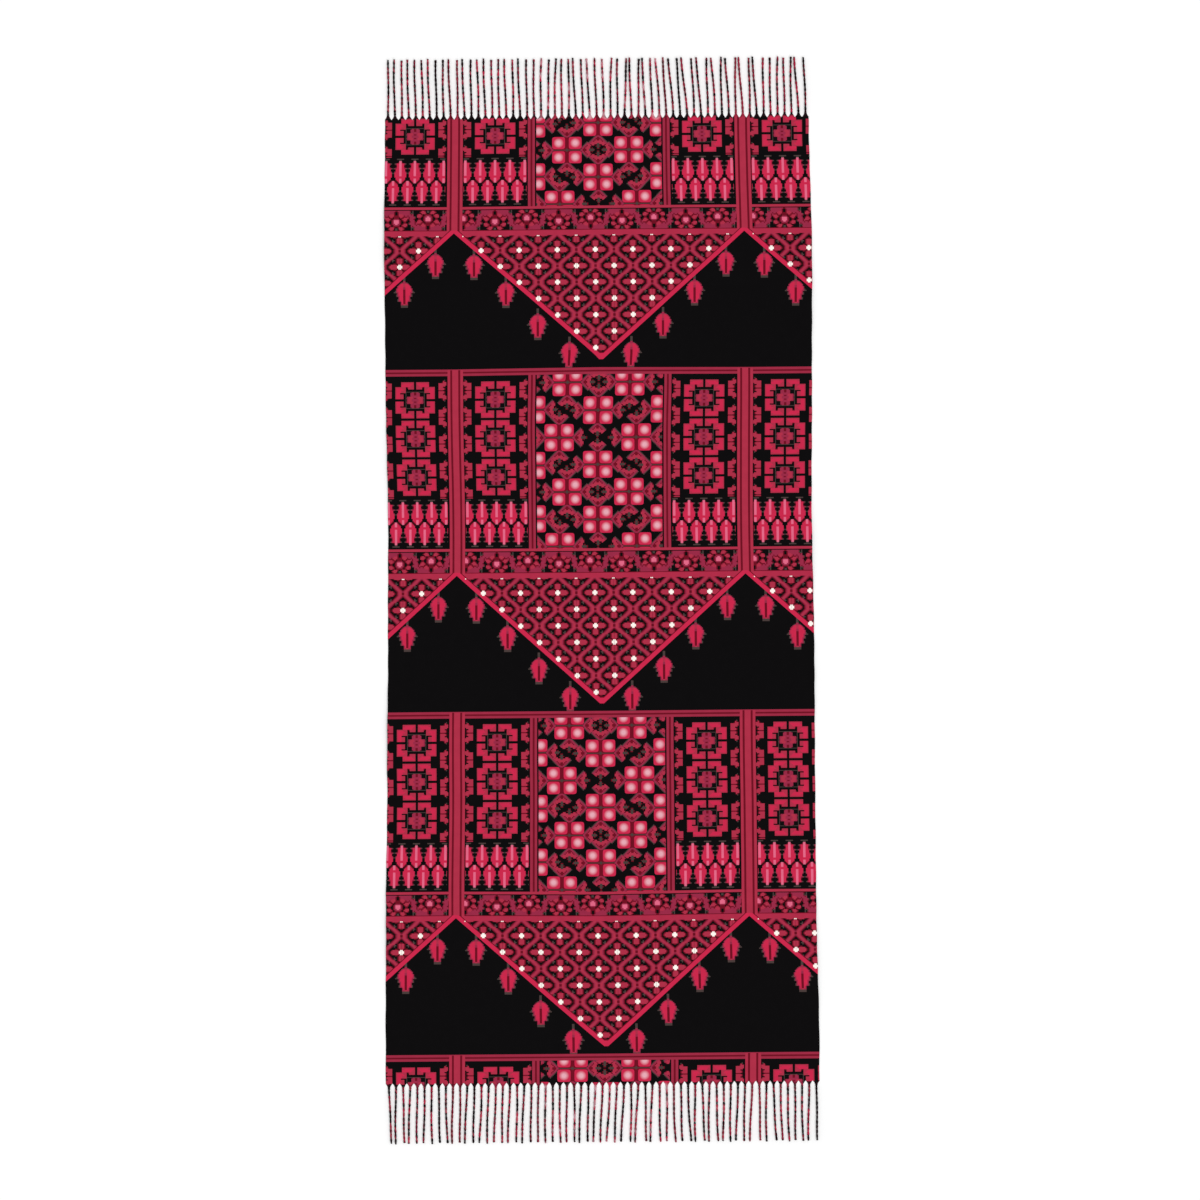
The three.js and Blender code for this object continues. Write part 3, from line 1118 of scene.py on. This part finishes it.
@dataclass
class Fringe:
    """One end's fringe: warp yarns gathered to a point at the cloth's edge and twisted two-ply."""

    name: str
    edge: float
    outward: int
    leans: Rows
    reach: float = 97.0
    gap: float = 0.3
    radius: float = 1.55
    lobe: float = 0.2
    turn_length: float = 16.0
    sway: float = 1.5
    unevenness: float = 2.2
    print_spread: float = 0.18
    around: int = 12
    root_length: float = 9.0
    root_height: float = 0.6
    root_cap: float = 0.15
    tip_cap: float = 0.25

    # Rings of the root, in mm from the cloth's edge, and of the strand beyond.
    root_rings: tuple[float, ...] = (-2.7, -1.8, -0.9, 0.0, 0.8, 1.6, 2.5, 3.3, 4.1, 5.0, 6.0, 7.2, 8.4)
    strand_start: float = 9.4
    strand_rings: int = 94

    # Half-widths and half-heights. Columns: mm from the cloth's edge; half-width or half-height.
    root_widths: Rows = ((-2.7, 5.6), (-1.0, 4.4), (0.0, 3.6), (1.0, 2.9), (2.5, 2.1), (4.0, 1.8))
    root_heights: Rows = ((-2.7, 0.3), (0.0, 0.45), (2.0, 0.75), (4.0, 1.05), (6.5, 1.3))
    full_width_at: float = 14.0

    # How the tip narrows. Columns: mm before the tip; share of the strand's thickness.
    tip_shape: Rows = ((1.0, 1.0), (0.5, 0.94), (0.2, 0.8), (0.0, 0.5))

    def along(self) -> np.ndarray:
        """Where the rings stand, in mm from the cloth's edge, close together at the root and tip."""
        tip = [self.reach - before for before, _ in self.tip_shape]
        return np.concatenate([self.root_rings, np.linspace(self.strand_start, tip[0], self.strand_rings),
                               tip[1:]])

    def build(self, material: bpy.types.Material) -> bpy.types.Object:
        """Build all strands at once: a ring of points carried along each strand's path.

        A ring point at material angle f stands at half-width x cos(f + turn) to the side and
        half-height x sin(f + turn) up, each times 1 + lobe x cos 2f, so the two plies wind round.

        Args:
            material: the printed yarn.

        Returns:
            The piece.
        """
        from_far = 0.0 if self.outward > 0 else ClothPanel.length
        left = float(table_curve(SIDE_STATIONS, 1, np.array([from_far]))[0])
        right = float(table_curve(SIDE_STATIONS, 2, np.array([from_far]))[0])
        pitch = (left + right - 2 * OUTER_STRAND_INSET) / (STRANDS - 1)
        number = np.arange(STRANDS)[:, None]
        phase = (number * 0.618034) % 1
        lean, pairing, stray = (table_curve(self.leans, column, number) for column in (1, 2, 3))
        lean = lean + np.where(number % 2 == 0, pairing, -pairing) + stray * np.sin(2 * np.pi * phase)
        along = self.along()[None, :]
        share = np.clip(along / self.reach, 0, 1)
        shift = lean * share ** 1.4 + self.sway * share * (1 - 0.4 * share) * (
            np.sin(np.pi * (1.5 * share + phase)) - np.sin(np.pi * phase))
        root_x = -left + OUTER_STRAND_INSET + number * pitch
        shorter = self.unevenness * (0.5 + 0.5 * np.sin(phase * 7))
        gap = self.gap * np.clip(along, 0, 1)
        path_x = root_x + shift
        path_y = self.edge + self.outward * (gap + along - shorter * share ** 4)

        half_width = np.interp(along, *zip(*self.root_widths, (self.full_width_at, self.radius)))
        half_height = np.interp(along, *zip(*self.root_heights, (self.root_length, self.radius)))
        loose = 1 + 0.05 * np.sin(along / 5.3 + 9 * phase) + 0.04 * np.sin(along / 2.7 + 17 * phase)
        tip = np.interp(along, *zip(*((self.reach - before, part) for before, part in self.tip_shape)))
        swelling = np.where(along > self.root_length, loose, 1.0) * tip
        settle = np.clip(along / self.root_length, 0, 1)
        rest = self.gap + self.radius * (1 + self.lobe)
        rise = (rest - self.root_height) * settle * settle * (3 - 2 * settle)
        path_z = self.root_height + rise + 0 * phase

        slope = np.gradient(path_x, axis=1) / np.gradient(path_y, axis=1)
        side = np.stack([np.ones_like(slope), -slope, np.zeros_like(slope)], axis=-1) * self.outward
        side /= np.linalg.norm(side, axis=-1, keepdims=True)
        angle = 2 * np.pi * np.arange(self.around) / self.around
        turns = np.maximum(0, along - 3) / self.turn_length * np.clip(along / 10, 0, 1)
        turn = 2 * np.pi * turns + 5 * phase * settle
        turned = angle[None, None, :] + turn[..., None]
        lobes = 1 + self.lobe * settle[..., None] * np.cos(2 * angle)[None, None, :]
        wide = (half_width * swelling)[..., None] * lobes * np.cos(turned)
        high = (half_height * swelling)[..., None] * lobes * np.sin(turned)
        centre = np.stack([path_x, path_y + 0 * path_x, path_z], axis=-1)
        rings = centre[:, :, None, :] + side[:, :, None, :] * wide[..., None]
        rings[..., 2] += high

        root_across = (OUTER_STRAND_INSET + number * pitch) / (left + right) * PRINT_WIDTH
        spread = self.outward * self.print_spread * PRINT_WIDTH / STRANDS * np.cos(angle)[None, None, :]
        across = root_across[..., None] + spread + 0 * along[..., None]
        down = (from_far - self.outward * along)[..., None] + 0 * across
        place = print_place(across / PRINT_WIDTH, down, 0.0)
        ends = centre[:, [0, -1], :]
        ends[:, 0, 1] -= self.outward * self.root_cap
        ends[:, 1, 1] += self.outward * self.tip_cap
        end_place = place[:, [0, -1], 0, :]

        ring_count = along.shape[1]
        points = np.concatenate([rings.reshape(-1, 3), ends.reshape(-1, 3)])
        places = np.concatenate([place.reshape(-1, 3), end_place.reshape(-1, 3)])
        faces, uvs = self.faces(ring_count)
        return Surface(points, places, faces, uvs).to_object(self.name, material)

    def faces(self, ring_count: int) -> tuple[list[np.ndarray], list[np.ndarray]]:
        """Faces of all strands, with one upright strip of the bake's UV map for each.

        Args:
            ring_count: rings in each strand.

        Returns:
            Groups of faces, and the UVs of their corners.
        """
        index = np.arange(STRANDS * ring_count * self.around).reshape(STRANDS, ring_count, self.around)
        poles = index.size + np.arange(2 * STRANDS).reshape(STRANDS, 2)
        after = np.roll(index, -1, axis=2)
        quads = np.stack([index[:, :-1], index[:, 1:], after[:, 1:], after[:, :-1]], axis=-1).reshape(-1, 4)
        strip = np.arange(STRANDS)[:, None, None]
        level = (0.02 + 0.96 * np.arange(ring_count - 1) / (ring_count - 1))[None, :, None]
        rise = 0.96 / (ring_count - 1)
        step = np.arange(self.around)[None, None, :]
        start = (strip + 0.06 + 0.88 * step / self.around) / STRANDS + 0 * level
        stop = start + 0.88 / self.around / STRANDS
        low, high = level + 0 * start, level + rise + 0 * start
        quad_uv = np.stack([start, low, start, high, stop, high, stop, low], axis=-1).reshape(-1, 4, 2)

        middle = (strip[:, 0] + 0.5) / STRANDS + 0 * step[0]
        edge_start, edge_stop = start[:, 0], stop[:, 0]
        root_pole = poles[:, :1] + 0 * index[:, 0]
        tip_pole = poles[:, 1:] + 0 * index[:, 0]
        root = np.stack([root_pole, index[:, 0], after[:, 0]], axis=-1).reshape(-1, 3)
        tip = np.stack([tip_pole, after[:, -1], index[:, -1]], axis=-1).reshape(-1, 3)
        base, crown = np.full_like(middle, 0.02), np.full_like(middle, 0.98)
        root_uv = np.stack([middle, base - 0.015, edge_start, base, edge_stop, base], axis=-1)
        tip_uv = np.stack([middle, crown + 0.015, edge_stop, crown, edge_start, crown], axis=-1)
        return [quads, root, tip], [quad_uv, root_uv.reshape(-1, 3, 2), tip_uv.reshape(-1, 3, 2)]


@dataclass
class Studio:
    """Pale floor, soft even light and a camera looking straight down, as the photograph was taken."""

    height: float = 5.0
    view_width: float = 1.98
    sensor: float = 36.0
    camera_at: tuple[float, float] = (0.0015, 0.0005)
    turn: float = -0.44
    sky: float = 0.74
    sun: float = 1.42
    sun_tilt: float = 35.0
    sun_from: float = 30.0
    sun_size: float = 50.0

    def build(self) -> bpy.types.Object:
        """Add the camera, world, light and floor, and return the floor."""
        camera = bpy.data.cameras.new("camera")
        camera.sensor_width = self.sensor
        camera.lens = self.sensor * self.height / self.view_width
        view = bpy.data.objects.new("camera", camera)
        view.location = (*self.camera_at, self.height)
        view.rotation_euler = (0, 0, math.radians(self.turn))
        sun = bpy.data.lights.new("soft_key", "SUN")
        sun.energy = self.sun
        sun.angle = math.radians(self.sun_size)
        key = bpy.data.objects.new("soft_key", sun)
        key.rotation_euler = (math.radians(self.sun_tilt), 0, math.radians(self.sun_from))
        for thing in (view, key):
            bpy.context.scene.collection.objects.link(thing)
        bpy.context.scene.camera = view

        world = bpy.data.worlds.new("soft_white")
        world.use_nodes = True
        world.node_tree.nodes.clear()
        sky = add_node(world.node_tree, "ShaderNodeBackground",
                       {"Color": (1.0, 1.0, 1.0, 1.0), "Strength": self.sky})
        add_node(world.node_tree, "ShaderNodeOutputWorld", {"Surface": sky.outputs[0]})
        bpy.context.scene.world = world
        bpy.context.scene.view_settings.view_transform = "Standard"

        mesh = bpy.data.meshes.new("floor")
        reach = 14.0
        mesh.from_pydata([(-reach, -reach, 0), (reach, -reach, 0), (reach, reach, 0), (-reach, reach, 0)],
                         [], [(0, 1, 2, 3)])
        mesh.materials.append(PaleFloor().build())
        floor = bpy.data.objects.new("floor", mesh)
        bpy.context.scene.collection.objects.link(floor)
        return floor


def main() -> None:
    logging.basicConfig(level=logging.INFO, format="%(name)s: %(message)s")
    Studio().build()
    pattern = ShawlPrint()
    cloth = ClothPanel().build(PrintedTwill().build(pattern))
    yarn = TwistedYarn().build(pattern)
    far = Fringe("far_fringe", 797.5, 1, FAR_LEANS).build(yarn)
    near = Fringe("near_fringe", -797.5, -1, NEAR_LEANS).build(yarn)
    for piece, node, slot in ((cloth, "cloth_panel", "printed_cloth"),
                              (far, "fringe_far", "twisted_yarn"),
                              (near, "fringe_near", "twisted_yarn")):
        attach(piece, "root")
        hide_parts(node)


if __name__ == "__main__":
    main()
